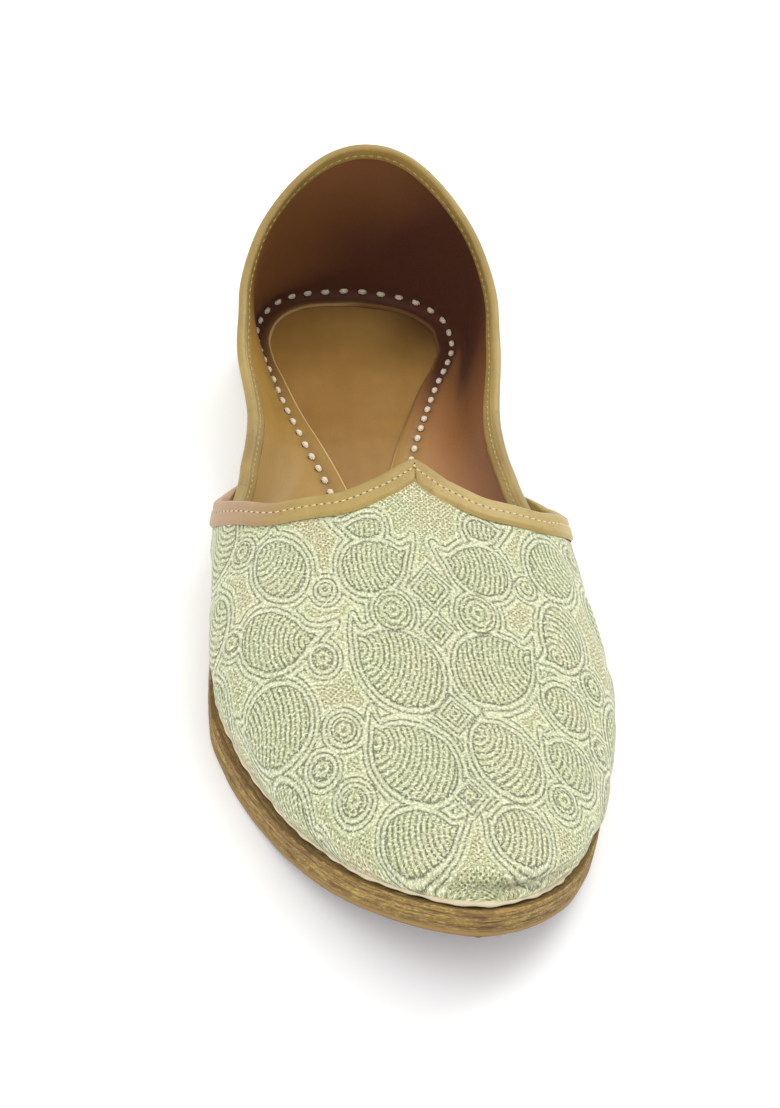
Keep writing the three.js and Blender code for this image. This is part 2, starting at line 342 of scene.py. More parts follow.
class Graph:
    """A material's node tree with short helpers, which return output sockets."""

    def __init__(self, name):
        self.material = bpy.data.materials.new(name)
        self.material.use_nodes = True
        self.tree = self.material.node_tree
        self.shader = self.tree.nodes["Principled BSDF"]

    def join(self, source, socket):
        """Feeds a socket from another socket, a number, a vector or a colour."""
        if isinstance(source, bpy.types.NodeSocket):
            self.tree.links.new(source, socket)
        elif socket.type == "RGBA":
            socket.default_value = (*source, 1)
        else:
            socket.default_value = source

    def node(self, kind, inputs=None, **settings):
        made = self.tree.nodes.new(kind)
        for key, value in settings.items():
            setattr(made, key, value)
        for key, source in (inputs or {}).items():
            self.join(source, made.inputs[key])
        return made.outputs

    def math(self, operation, a, b=0.0, c=0.0, clamp=False):
        return self.node("ShaderNodeMath", {0: a, 1: b, 2: c}, operation=operation, use_clamp=clamp)[0]

    def add(self, a, b):
        return self.math("ADD", a, b)

    def minus(self, a, b):
        return self.math("SUBTRACT", a, b)

    def times(self, a, b):
        return self.math("MULTIPLY", a, b)

    def most(self, a, b):
        return self.math("MAXIMUM", a, b)

    def scaled(self, value, slope, start):
        return self.math("MULTIPLY_ADD", value, slope, start)

    def flip(self, value):
        return self.minus(1.0, value)

    def band(self, value, centre, half, soft):
        """1 where value is within `half` of centre, fading over `soft`."""
        away = self.math("ABSOLUTE", self.minus(value, centre))
        return self.math("DIVIDE", self.minus(half + soft / 2, away), soft, clamp=True)

    def above(self, value, level, soft):
        return self.math("DIVIDE", self.minus(value, level - soft / 2), soft, clamp=True)

    def wave(self, value, pitch):
        """0 to 1 and back once in every `pitch`."""
        return self.scaled(self.math("COSINE", self.times(value, 2 * math.pi / pitch)), 0.5, 0.5)

    def mix(self, share, a, b):
        return self.node("ShaderNodeMix", {0: share, 6: a, 7: b}, data_type="RGBA")[2]

    def layered(self, colour, *layers):
        """Colour with others laid over it, each given as its mask, share and colour."""
        for mask, share, over in layers:
            colour = self.mix(self.times(mask, share), colour, over)
        return colour

    def attribute(self, name):
        return self.node("ShaderNodeAttribute", attribute_name=name)["Fac"]

    def place(self):
        """Object place in millimetres."""
        metres = self.node("ShaderNodeTexCoord")["Object"]
        return self.node("ShaderNodeVectorMath", {0: metres, 3: 1 / MM}, operation="SCALE")[0]

    def cloth_place(self):
        """Place over the cloth or round the sole's edge, in millimetres."""
        return self.node("ShaderNodeUVMap", uv_map="cloth")[0]

    def split(self, vector):
        return self.node("ShaderNodeSeparateXYZ", {0: vector})

    def stretched(self, vector, scale):
        return self.node("ShaderNodeVectorMath", {0: vector, 1: scale}, operation="MULTIPLY")[0]

    def noise(self, vector, size, detail=2.0, rough=0.5):
        """Soft noise from 0 to 1 whose lumps are about `size` across, in the vector's units."""
        inputs = {"Vector": vector, "Scale": 1 / size, "Detail": detail, "Roughness": rough}
        return self.node("ShaderNodeTexNoise", inputs)["Fac"]

    def grain(self, along, up, detail, rough=0.5, size=1.0):
        """Noise over the cloth or the sole's edge, drawn out more where the scales are small."""
        return self.noise(self.stretched(self.cloth_place(), (along, up, 1.0)), size, detail, rough)

    def cells(self, vector, size):
        inputs = {"Vector": vector, "Scale": 1 / size}
        return self.node("ShaderNodeTexVoronoi", inputs, feature="DISTANCE_TO_EDGE")["Distance"]

    def spread(self, value, low, high):
        """Value from low..high stretched to 0..1."""
        return self.node("ShaderNodeMapRange", {0: value, 1: low, 2: high})[0]

    def bump(self, height, depth):
        """Relief of `height` (0 to 1) that is `depth` millimetres high."""
        inputs = {"Height": height, "Distance": depth * MM, "Strength": 1.0}
        self.join(self.node("ShaderNodeBump", inputs)[0], self.shader.inputs["Normal"])

    def finish(self, colour, rough, **sockets):
        for name, value in {"Base_Color": colour, "Roughness": rough, **sockets}.items():
            self.join(value, self.shader.inputs[name.replace("_", " ")])
        return self.material


# ---- Brocade -------------------------------------------------------------------------------

# Motifs of the vamp. `at` is the station, `across` the distance from the ridge over the cloth,
# lateral side negative. A paisley bends from its round body to its tip.
VAMP_PAISLEYS = table(
    "at across tip_at tip_across radius",
    (184, -13.5, 175.5, -3, 6.6),
    (184, 13, 177.5, 2.5, 6.4),
    (181, -34.5, 169, -36, 7),
    (178, 32, 168, 35, 7),
    (214.5, -9.5, 200, -19, 8.4),
    (214, 10.5, 203, 22, 8),
    (202, -38.5, 201, -24, 7),
    (200, 30, 210, 20, 6.6),
    (225, -39, 219, -50, 8),
    (222, 27, 215, 21, 5.4),
    (242.5, -10, 227, -18, 8.4),
    (241, 9.5, 226, 6.5, 7.6),
    (239, 25, 231, 19, 5.6),
    (264, -12, 257.5, -1, 6.8),
    (263, 10, 258, 3, 6.4),
    (246, -41, 236, -44, 6.2),
    (190, -55, 178, -52, 7),
    (209, -58, 200, -63, 6),
    (163, -52, 151, -50, 7.4),
    (186, 49, 174, 47, 7),
    (204, 52, 195, 57, 6.6),
    (221, 45, 212, 49, 6.8),
    (240, 41, 231, 44, 6.2),
    (163, 52, 151, 51, 7.4),
    (172, -13, 168, -22, 3.6),
    (171, 14, 168, 22, 3.6),
    (144, -68, 134, -62, 6),
    (144, 70, 134, 64, 6),
)
VAMP_ROSETTES = table(
    "at across radius",
    (197.5, -9.8, 6.4),
    (197.5, 9.8, 6.4),
    (210, -27, 4.3),
    (231, -24.5, 4.7),
    (240.5, -30, 4.2),
    (251, -24, 4.7),
    (250, 21, 4.6),
    (171, -44, 4.6),
    (168, 42, 4.4),
    (212, 36, 4.4),
    (230, 35, 4.2),
    (190, -24.5, 3.6),
    (187, 23.5, 3.6),
    (255, 32, 3.6),
    (256, -36, 3.8),
    (177, -63, 4.6),
    (176, 60, 4.6),
    (198, -48, 4),
    (230, -54, 4),
    (152, -64, 4),
    (152, 64, 4),
)
VAMP_DIAMONDS = table(
    "at across radius",
    (190.6, 0, 5.4),
    (203.2, 0, 4),
    (227.7, 0, 5.2),
    (252, 0, 4.6),
)
# Motifs of the quarter, for one half: `at` runs up from the seam, `across` from the back seam.
QUARTER_PAISLEYS = table(
    "at across tip_at tip_across radius",
    (13, 14, 27, 5, 8),
    (20, 39, 41, 26, 7),
    (6, 34, 10, 22, 5.4),
    (8, 60, 14, 72, 6.4),
    (5, 90, 9, 100, 4.2),
    (5, 118, 9, 128, 4.2),
    (44, 12, 55, 3, 5),
)
QUARTER_ROSETTES = table(
    "at across radius",
    (30, 20, 6.2),
    (5, 48, 4.2),
    (38, 5, 4),
    (22, 56, 4),
    (5, 77, 4),
    (5, 105, 3.8),
    (5, 134, 3.8),
)
QUARTER_DIAMONDS = table("at across radius", (9, 0, 5.2), (54, 0, 3))

# Radii of a paisley along its length, as shares of its body's, from behind the body to its tip.
PAISLEY_SHAPE = table(
    "share size",
    (-0.12, 0.95),
    (0, 1),
    (0.12, 0.95),
    (0.25, 0.82),
    (0.38, 0.64),
    (0.5, 0.47),
    (0.62, 0.34),
    (0.75, 0.24),
    (0.9, 0.14),
    (1.08, 0.05),
)
PAISLEY_BEND = 0.6
PAISLEY_STEPS = 40
STRETCH = 1.36           # motifs are longer along the foot than across it
VAMP_STRETCH = 1.66      # and the vamp's paisleys more so
PAISLEY_SCALE, ROSETTE_SCALE = 0.98, 0.93
FOCUS_AHEAD, FOCUS_ASIDE = 1.15, 0.5     # centre of a paisley's ribs, in shares of its radius
RIB_PACE = 0.8           # ribs of rosettes and diamonds are wider than a paisley's
DIAMOND_SLANT, DIAMOND_SLOPE = 0.74, 0.8
MARGIN = -9.0            # depth where there is no motif


def motif_fields(at, across, paisleys, rosettes, diamonds, stretch=STRETCH):
    """Depth inside the nearest motif's outline (negative outside) and the place along its ribs."""
    depth = np.full(at.shape, MARGIN)
    ribs = np.zeros(at.shape)

    def away(spot, length):
        return np.hypot((at - spot[0]) / length, across - spot[1])

    def keep(inside, along):
        nearer = inside > depth
        depth[nearer] = inside[nearer]
        ribs[nearer] = along[nearer]

    for row in zip(*paisleys.values()):
        centre, tip, radius = np.array(row[:2]), np.array(row[2:4]), row[4] * PAISLEY_SCALE
        reach = tip - centre
        length = np.hypot(*reach) + 1e-6
        ahead = reach / length
        aside = np.array([-ahead[1], ahead[0]]) * (1 if centre[1] < tip[1] else -1)
        inside = np.full(at.shape, MARGIN)
        for share in np.linspace(*PAISLEY_SHAPE["share"][[0, -1]], PAISLEY_STEPS):
            size = np.interp(share, PAISLEY_SHAPE["share"], PAISLEY_SHAPE["size"])
            spot = centre + reach * share + aside * PAISLEY_BEND * length * (share * share - share)
            inside = np.maximum(inside, radius * size - away(spot, stretch))
        focus = centre + ahead * radius * FOCUS_AHEAD - aside * radius * FOCUS_ASIDE
        keep(inside, away(focus, stretch))
    for *centre, radius in zip(*rosettes.values()):
        out = away(centre, STRETCH)
        keep(radius * ROSETTE_SCALE - out, out * RIB_PACE)
    for centre_at, centre_across, radius in zip(*diamonds.values()):
        out = np.abs(at - centre_at) * DIAMOND_SLANT + np.abs(across - centre_across)
        keep((radius - out) * DIAMOND_SLOPE, out * RIB_PACE)
    return depth, ribs


def puff(depth):
    """Height of the padded cloth: motifs stand up, with a soft groove about their outlines."""
    inside = 0.5 * (1 - bell(np.maximum(depth, 0), 0, 2.2))
    outside = 0.14 * (1 - bell(np.maximum(-depth, 0), 0, 2.4))
    return inside + outside - 0.12


def brocade():
    """Pale woven cloth: motifs outlined by fine cords and filled with ribs, on a dotted ground."""
    g = Graph("brocade")
    cloth = g.cloth_place()
    x, y, _ = g.split(cloth)
    wobble = g.noise(cloth, 2.6)
    depth = g.add(g.attribute("depth"), g.times(g.minus(wobble, 0.5), 0.5))
    inside = g.above(depth, 1.75, 0.3)
    ground = g.flip(g.above(depth, -1.75, 0.4))
    cords = g.add(g.band(depth, 0.0, 0.24, 0.36), g.band(depth, 1.12, 0.24, 0.36))
    cords = g.add(cords, g.times(g.band(depth, -1.12, 0.2, 0.36), 0.5))
    edges = g.times(g.band(depth, -1.68, 0.1, 0.2), 0.6)
    for centre, half in ((-0.56, 0.14), (0.56, 0.15), (1.68, 0.16)):
        edges = g.most(edges, g.band(depth, centre, half, 0.2))
    ribs = g.wave(g.add(g.attribute("ribs"), g.times(wobble, 0.6)), 1.16)
    dots = g.times(g.wave(g.add(x, y), 1.25), g.wave(g.minus(x, y), 1.25))
    twill = g.wave(g.scaled(x, 0.7, y), 0.46)
    holes = g.times(g.above(dots, 0.5, 0.35), ground)
    # the worn noise only makes the painted shade in the gaps patchy
    worn = g.spread(g.noise(cloth, 5.0, 3, 0.6), 0.3, 0.7)
    gaps = g.times(g.flip(g.above(ribs, 0.4, 0.36)), inside)
    gaps = g.times(gaps, g.scaled(worn, -0.35, 1.0))
    speckle = g.spread(g.noise(cloth, 0.62, 3, 0.8), 0.36, 0.64)

    patch = g.spread(g.noise(cloth, 17.0), 0.42, 0.6)
    pale = g.mix(patch, (0.66, 0.71, 0.355), (0.73, 0.72, 0.385))
    earth = g.mix(patch, (0.58, 0.60, 0.29), (0.63, 0.54, 0.27))
    base = g.layered(
        pale,
        (ground, 0.7, earth),
        # cords: their paler thread, lightened further by painted highlight on their raised tops
        (cords, 0.65, (0.92, 0.96, 0.66)),
        # painted shade in the grooves between ribs, in the ground's hollows and beside the cords
        (gaps, 1.0, (0.10, 0.115, 0.06)),
        (holes, 0.85, (0.15, 0.13, 0.06)),
        (edges, 0.92, (0.09, 0.10, 0.065)),
        (g.flip(speckle), 0.62, (0.13, 0.15, 0.07)),
        # white flecks: painted glints on the threads
        (g.above(speckle, 0.7, 0.3), 0.75, (1.0, 1.0, 0.8)),
        # painted shade: near black along the cloth's foot by the sole and in the fold across the toe
        (g.attribute("seam_and_fold_shade"), 1.0, (0.03, 0.02, 0.012)),
    )
    height = g.times(edges, -0.45)
    reliefs = (cords, 0.8), (g.times(ribs, inside), 0.7), (g.flip(holes), 0.4), (twill, 0.14)
    for relief, share in (*reliefs, (speckle, 0.2)):
        height = g.add(height, g.times(relief, share))
    g.bump(height, 0.36)
    rough = g.scaled(g.add(gaps, holes), 0.2, 0.5)
    return g.finish(base, rough, Sheen_Weight=0.15, Sheen_Roughness=0.4, Specular_IOR_Level=0.4)


# ---- Leathers ------------------------------------------------------------------------------


def leather(name, dark, light, grain, rough, relief, spots=None, shade=None, shade_tint=None):
    """Smooth leather with a fine grain, soft mottling and, where asked, specks and colours mixed in by
    attribute, among them painted shade on the lining, footbed and cut edge and its redder tint.
    """
    g = Graph(name)
    spot = g.place()
    mottle = g.spread(g.noise(spot, 22.0, 4, 0.6), 0.32, 0.68)
    streak = g.spread(g.noise(g.stretched(spot, (1.0, 0.16, 1.0)), 3.5, 3), 0.3, 0.7)
    colour = g.mix(mottle, dark, light)
    colour = g.mix(g.times(streak, 0.22), colour, tuple(0.72 * c for c in dark))
    if spots:
        speck = g.above(g.noise(spot, 2.2, 3, 0.7), 0.66, 0.08)
        colour = g.mix(g.times(speck, 0.5), colour, spots)
    # redder tint of the painted shade, by attribute
    if shade_tint:
        colour = g.mix(g.attribute("shade_tint"), colour, shade_tint)
    shine = 0.5
    if shade:
        colour = g.mix(g.attribute("shade"), colour, shade)
        shine = g.scaled(g.attribute("shade"), -0.42, shine)
    pores = g.math("MULTIPLY", g.cells(spot, grain), 1.6, clamp=True)
    g.bump(g.add(g.times(pores, 0.6), g.times(g.noise(spot, 6.0, 4, 0.6), 0.7)), relief)
    gloss = g.scaled(g.noise(spot, 9.0, 4, 0.6), 0.22, rough - 0.11)
    return g.finish(colour, gloss, Specular_IOR_Level=shine)


def edge_leather():
    """Stacked sole leather cut through: thin layers in tan, gold and red-brown along the edge."""
    g = Graph("sole_edge")
    around, up, _ = g.split(g.cloth_place())
    streaks = g.grain(0.13, 2.0, 4, 0.7)
    fibres = g.grain(0.35, 5.0, 3, 0.7)
    patches = g.spread(g.grain(0.04, 0.1, 2), 0.35, 0.65)
    level = g.add(up, g.times(g.minus(streaks, 0.5), 1.4))
    toe_lateral = g.band(around, 235, 62, 40)
    reddened = g.most(g.times(patches, 0.5), g.times(toe_lateral, 0.85))
    joints = g.add(g.band(up, 4.0, 0.1, 0.3), g.band(up, 1.9, 0.08, 0.25))
    speckle = g.spread(g.grain(0.8, 1.6, 3, 0.8, size=0.7), 0.35, 0.65)
    blots = g.spread(g.grain(0.3, 0.7, 4, 0.7), 0.44, 0.62)
    stains = g.spread(g.grain(0.11, 0.4, 3, 0.6), 0.52, 0.7)
    colour = g.layered(
        g.mix(patches, (0.46, 0.28, 0.07), (0.58, 0.42, 0.105)),
        (g.above(g.minus(0.0, level), -1.6, 1.2), 1.0, (0.33, 0.23, 0.085)),
        (g.band(level, 3.5, 0.2, 0.35), 0.8, (0.62, 0.44, 0.24)),
        (g.above(level, 3.8, 0.5), reddened, (0.20, 0.085, 0.036)),
        (joints, 0.6, (0.07, 0.035, 0.02)),
        (g.spread(fibres, 0.44, 0.6), 0.85, (0.76, 0.55, 0.18)),
        (g.spread(streaks, 0.5, 0.64), 0.85, (0.14, 0.06, 0.026)),
        (blots, 0.6, (0.22, 0.115, 0.04)),
        (stains, 0.75, (0.17, 0.085, 0.038)),
        (g.flip(speckle), 0.62, (0.12, 0.07, 0.03)),
    )
    g.bump(g.add(g.times(fibres, 0.7), g.times(streaks, 0.9)), 0.5)
    return g.finish(colour, g.scaled(fibres, 0.3, 0.5), Specular_IOR_Level=0.22)


def thread(name, colour, shade):
    g = Graph(name)
    x, y, z = g.split(g.place())
    twist = g.wave(g.add(x, g.times(g.add(y, z), 0.8)), 0.7)
    g.bump(twist, 0.12)
    return g.finish(g.mix(g.times(g.flip(twist), 0.45), colour, shade), 0.6, Sheen_Weight=0.2)


BROCADE = brocade()
BINDING = leather("binding_leather", (0.31, 0.205, 0.046), (0.43, 0.315, 0.088), grain=0.9,
                  rough=0.42, relief=0.12, spots=(0.17, 0.11, 0.035), shade=(0.40, 0.26, 0.18))
COLLAR = leather("collar_leather", (0.265, 0.17, 0.04), (0.38, 0.265, 0.075), grain=0.9,
                 rough=0.42, relief=0.12, spots=(0.15, 0.095, 0.03))
# Lining: painted shade by attribute, darker and redder where shade falls.
LINING = leather("lining_leather", (0.31, 0.175, 0.033), (0.37, 0.22, 0.046), grain=0.8,
                 rough=0.45, relief=0.09, shade=(0.075, 0.027, 0.019), shade_tint=(0.32, 0.13, 0.04))
# Painted shade: the vamp's lining is near black, for the shade inside the toe and under the raw edge.
SHADED_VAMP_LINING = leather("shaded_vamp_lining", (0.06, 0.03, 0.015), (0.09, 0.045, 0.02), grain=0.8,
                      rough=0.6, relief=0.1)
FOOTBED = leather("footbed_leather", (0.36, 0.19, 0.046), (0.43, 0.24, 0.066), grain=0.7,
                  rough=0.36, relief=0.06, shade=(0.05, 0.025, 0.012))
RAW_EDGE = leather("raw_edge", (0.54, 0.34, 0.13), (0.68, 0.46, 0.20), grain=0.5, rough=0.75,
                   relief=0.15, shade=(0.13, 0.06, 0.02))
RAW_CLOTH = leather("raw_cloth_edge", (0.60, 0.51, 0.34), (0.72, 0.64, 0.45), grain=0.5,
                    rough=0.8, relief=0.2)
SOLE_EDGE = edge_leather()
OUTSOLE_LEATHER = leather("outsole_leather", (0.05, 0.018, 0.011), (0.085, 0.032, 0.018),
                          grain=1.1, rough=0.5, relief=0.12, shade=(0.30, 0.19, 0.07))
GOLD_THREAD = thread("gold_thread", (0.74, 0.62, 0.36), (0.42, 0.30, 0.12))
OLIVE_THREAD = thread("olive_thread", (0.50, 0.38, 0.15), (0.20, 0.13, 0.05))
HOLE_SHADE = thread("hole_shade", (0.05, 0.035, 0.02), (0.03, 0.02, 0.012))
CREAM_THREAD = thread("cream_thread", (0.80, 0.72, 0.55), (0.52, 0.41, 0.25))


# ---- Vamp ----------------------------------------------------------------------------------

FIRST_STATION, STATION_STEP, RISE_STEPS = 100, 2.0, 90
VAMP_TIP = LENGTH - VAMP_INSET


def vamp_across():
    """Distance over the cloth from the ridge, as a function of station, side and rise."""
    stations = np.arange(FIRST_STATION, VAMP_TIP + STATION_STEP, STATION_STEP)
    rises = np.linspace(1, 0, RISE_STEPS)
    lengths_by_side = {
        side: arc_length(arch_point(stations[:, None], side, rises[None, :]), 1)
        for side in (LATERAL, MEDIAL)
    }

    def value(at, side, rise):
        row = np.clip((at - stations[0]) / STATION_STEP, 0, len(stations) - 1.001)
        column = np.clip((1 - rise) * (RISE_STEPS - 1), 0, RISE_STEPS - 1.001)
        r, c = row.astype(int), column.astype(int)
        s, t = row - r, column - c
        out = np.zeros(at.shape)
        for which, lengths in lengths_by_side.items():
            over = lengths[r, c] * (1 - t) + lengths[r, c + 1] * t
            next_over = lengths[r + 1, c] * (1 - t) + lengths[r + 1, c + 1] * t
            out = np.where(side == which, which * (over * (1 - s) + next_over * s), out)
        return out

    return value


vamp_distance = vamp_across()
RIDGE_STATIONS = np.linspace(FIRST_STATION, VAMP_TIP, 240)
RIDGE = arch_point(RIDGE_STATIONS, MEDIAL, np.ones_like(RIDGE_STATIONS))
RIDGE_LENGTHS = FIRST_STATION + arc_length(RIDGE, 0)


def over_ridge(at):
    """Distance over the cloth along the foot: the station, with the fall of the toe added."""
    return np.interp(at, RIDGE_STATIONS, RIDGE_LENGTHS)


def over_cloth(motifs):
    """The vamp's motifs with their stations turned into distances over the cloth."""
    return {key: over_ridge(row) if key in ("at", "tip_at") else row for key, row in motifs.items()}


def vamp_creases(at, x, rise):
    """Soft troughs and ridges of the worn-in vamp, in millimetres along its normal."""
    toe = smoothstep(at, 236, 262)
    fold = bell(rise, 4.6 + 0.5 * np.sin(x / 5.0), 1.3) * bell(x, 12, 17) * toe
    ridge = bell(rise, 7.4, 2.0) * bell(x, 12, 20) * toe
    gathers = np.sin(x * 0.62 + 1.1) * bell(rise, 3.0, 3.2) * smoothstep(at, 205, 245)
    swell = np.sin(at / 11.0 + x / 17.0) * np.cos(x / 13.0 - at / 23.0)
    side_dent = bell(at, 158, 15) * bell(rise, 17, 9) * smoothstep(np.abs(x), 24, 40)
    return -1.6 * fold + 0.6 * ridge + 0.28 * gathers + 0.25 * swell - 0.7 * side_dent


def vamp_grid(rows, half_columns):
    along = np.linspace(0, 1, rows + 1)[:, None]
    across = np.linspace(-1, 1, 2 * half_columns + 1)[None, :]
    return np.broadcast_arrays(along, across)


def above_seam(points):
    return points[..., 2] - seam_height(station(points))


def flattened(normals, points):
    """Normals turned level with the floor near the seam line."""
    level = normals.copy()
    level[..., 2] *= smoothstep(above_seam(points), 0, 5)
    return unit(level)


def make_vamp_cloth():
    along, across = vamp_grid(262, 154)
    base = vamp_point(along, across)
    at = vamp_at(along, across)
    over = vamp_distance(at, side_of(across), 1 - np.abs(across))
    ahead = over_ridge(at)
    motifs = [over_cloth(rows) for rows in (VAMP_PAISLEYS, VAMP_ROSETTES, VAMP_DIAMONDS)]
    depth, ribs = motif_fields(ahead, over, *motifs, VAMP_STRETCH)
    x, rise = base[..., 0], above_seam(base)
    height = (puff(depth) + vamp_creases(at, x, rise)) * smoothstep(rise, 0.5, 5) - CLOTH_SUNK
    points = base + flattened(grid_normals(base), base) * height[..., None]
    # Painted shade along the cloth's foot by the sole and, where trough is high, in the fold across
    # the toe.
    trough = bell(rise, 4.3, 1.6) * bell(x, 14, 12) * smoothstep(at, 250, 264)
    seam_and_fold_shade = 0.95 * (1 - smoothstep(rise, 0.7, 1.5)) + 0.4 * trough
    sheet("vamp_cloth", points, BROCADE, "brocade", uv=np.stack([over, ahead], axis=-1),
          attributes={"depth": depth, "ribs": ribs, "seam_and_fold_shade": seam_and_fold_shade})


def make_vamp_lining():
    base = vamp_point(*vamp_grid(80, 44))
    points = base - flattened(grid_normals(base), base) * LINING_DEPTH
    sheet("shaded_vamp_lining", points, SHADED_VAMP_LINING, "lining_leather", flipped=True)


# ---- Quarter -------------------------------------------------------------------------------


def quarter_creases(up, along):
    wave = np.sin(along / 8.5) * np.sin(along / 23.0 + 1.0)
    seam = bell(along, 0, 0.7) * smoothstep(up, 0.0, 0.1)
    dent = bell(np.abs(along), 46, 14) * bell(up, 0.5, 0.3)
    return 0.3 * wave * np.sin(np.pi * np.clip(up, 0, 1)) - 0.35 * seam - 0.5 * dent


def make_quarter_cloth():
    half_columns, rows = 300, 74
    turn = np.linspace(1, -1, 2 * half_columns + 1)[:, None]
    turn, up = np.broadcast_arrays(turn, np.linspace(0, 1, rows + 1)[None, :])
    base = quarter_point(turn, up)
    along = arc_length(base[:, :1], 0)
    along = np.broadcast_to(along[half_columns] - along, turn.shape)
    high = arc_length(base, 1)
    motifs = QUARTER_PAISLEYS, QUARTER_ROSETTES, QUARTER_DIAMONDS
    depth, ribs = motif_fields(high, np.abs(along), *motifs)
    height = (puff(depth) + quarter_creases(up, along)) * smoothstep(high, 0.5, 4) - CLOTH_SUNK
    # Painted shade along the cloth's foot by the sole.
    seam_and_fold_shade = 0.95 * (1 - smoothstep(high, 0.8, 1.7))
    sheet("quarter_cloth", base + grid_normals(base) * height[..., None], BROCADE, "brocade",
          uv=np.stack([along, high], axis=-1), attributes={"depth": depth, "ribs": ribs, "seam_and_fold_shade": seam_and_fold_shade})


# Cut edge of the lining's flap on the footbed, by the quarter's turn: station and side.
FLAP_EDGE = table(
    "turn lateral_at lateral medial_at medial",
    (0, 5.8, 0.5, 5.8, 0.5),
    (0.15, 8, -12, 7.9, 12.8),
    (0.25, 13.6, -20, 13.4, 20.8),
    (0.35, 22.8, -24.8, 22.6, 25.2),
    (0.43, 32.2, -26.4, 32, 25.4),
    (0.5, 41.6, -25.6, 41.6, 23),
    (0.6, 57, -22.2, 57, 17.4),
    (0.7, 75.5, -18, 75.5, 12),
    (0.8, 96, -12.2, 96, 6.6),
    (0.86, 109, -8.8, 109, 3.8),
    (0.9, 118, -7.2, 118, 2.4),
    (0.94, 128, -9.4, 128, 6.6),
    (0.97, 136, -17.4, 136, 16.4),
    (1, 144, -30, 144, 30),
)
FLAP = 1.1               # thickness of the turned-in lining
FILLET = 4.2             # radius at which the lining turns from the wall onto the footbed
STITCH_INSET = 4.9       # from the flap's cut edge out to the row of hand stitches
STITCH_PITCH = 5.9
STITCH_REACH = 0.9       # the row ends short of the quarter's front ends
WALL_ROWS, FILLET_ROWS, FLAT_ROWS = 34, 10, 26
FLAP_RIM = ((0.12, 0.12), (0.2, 0.35), (0.2, 0.6), (0.1, 0.75))     # ways inward and down


def flap_edge(turn):
    """Stations and sides of the flap's cut edge."""
    lateral, medial = (
        [curve(FLAP_EDGE, column, "turn")(np.abs(turn)) for column in (side + "_at", side)]
        for side in ("lateral", "medial")
    )
    return np.where(turn < 0, lateral, medial)


def quarter_inner(turn, up):
    """The quarter's inner face: the outer one moved in by the wall, level near the seam."""
    turn_step, up_step = 0.003, 0.02
    point = quarter_point(turn, up)
    ahead = quarter_point(np.clip(turn + turn_step, -1, 1), up)
    behind = quarter_point(np.clip(turn - turn_step, -1, 1), up)
    above = quarter_point(turn, np.clip(up + up_step, 0, 1))
    below = quarter_point(turn, np.clip(up - up_step, 0, 1))
    normal = facing(unit(np.cross(above - below, ahead - behind)), quarter_outward(turn))
    return point - flattened(normal, point) * LINING_DEPTH


def flap_top(points):
    return footbed_height(station(points)) + FLAP


def lining_path(turn):
    """Points of the lining for each turn: down the wall, over the fillet, along the footbed to
    the cut edge, and down that edge. Returns both grids and the distance from the cut edge."""
    turn = np.asarray(turn, float)[:, None]
    at = quarter_at(turn)
    floor = footbed_height(at) + FLAP
    low = np.clip((floor + FILLET - seam_height(at)) / (topline(at) - seam_height(at)), 0.1, 0.85)
    wall_up = 1 + (low - 1) * np.linspace(0, 1, WALL_ROWS)[None, :]
    wall = quarter_inner(np.broadcast_to(turn, wall_up.shape), wall_up)
    start = wall[:, -1]
    fall = start - wall[:, -2]
    down = start + fall / np.maximum(-fall[:, 2:], 1e-6) * (start[:, 2:] - floor)
    cut_at, cut_side = flap_edge(turn[:, 0])
    cut = place(cut_at, cut_side, footbed_height(cut_at) + FLAP)
    inward = cut - down
    gap = np.linalg.norm(inward[:, :2], axis=1, keepdims=True)
    inward = inward / np.maximum(gap, 1e-6)
    settle = down + inward * np.minimum(FILLET, gap * 0.7)
    settle[:, 2] = flap_top(settle)
    s = np.linspace(0, 1, FILLET_ROWS)[1:, None, None]
    fillet = (start * (1 - s) ** 2 + down * 2 * s * (1 - s) + settle * s * s).transpose(1, 0, 2)
    s = np.linspace(0, 1, FLAT_ROWS)[1:, None, None]
    flat = (settle * (1 - s) + cut * s).transpose(1, 0, 2)
    flat[..., 2] = flap_top(flat)
    path = np.concatenate([wall, fillet, flat], axis=1)
    to_cut = arc_length(path, 1)
    to_cut = to_cut[:, -1:] - to_cut
    path[..., 2] -= 0.45 * (1 - smoothstep(to_cut, 0, 0.9))
    rim = np.repeat(path[:, -1:], len(FLAP_RIM), axis=1)
    for k, (out, drop) in enumerate(FLAP_RIM):
        rim[:, k] += inward * out
        rim[:, k, 2] = path[:, -1, 2] - drop * (FLAP - 0.35)
    return path, rim, to_cut


def row_on_path(turn, distance):
    """The point at `distance` from the cut edge on each turn's path, with path direction."""
    path, _, to_cut = lining_path(turn)
    index = np.argmin(np.abs(to_cut - distance), axis=1)
    index = np.clip(index, 1, path.shape[1] - 2)
    rows = np.arange(len(index))
    here, before = path[rows, index], path[rows, index - 1]
    step = np.maximum(to_cut[rows, index - 1] - to_cut[rows, index], 1e-6)
    share = np.clip((distance - to_cut[rows, index]) / step, -1, 1)
    return here + (before - here) * share[:, None], unit(path[rows, index + 1] - before)


def spaced(points, pitch):
    """Shares of the way along a line of points at which marks `pitch` apart fall."""
    lengths = arc_length(points, 0)
    count = int(lengths[-1] // pitch)
    marks = (np.arange(count) + 0.5) * lengths[-1] / count
    return np.interp(marks, lengths, np.linspace(0, 1, len(points)))


def sample(line, index):
    """Points of a line at places between its own, given as fractional indices."""
    order = np.arange(len(line))
    return np.stack([np.interp(index, order, line[:, k]) for k in range(3)], axis=1)


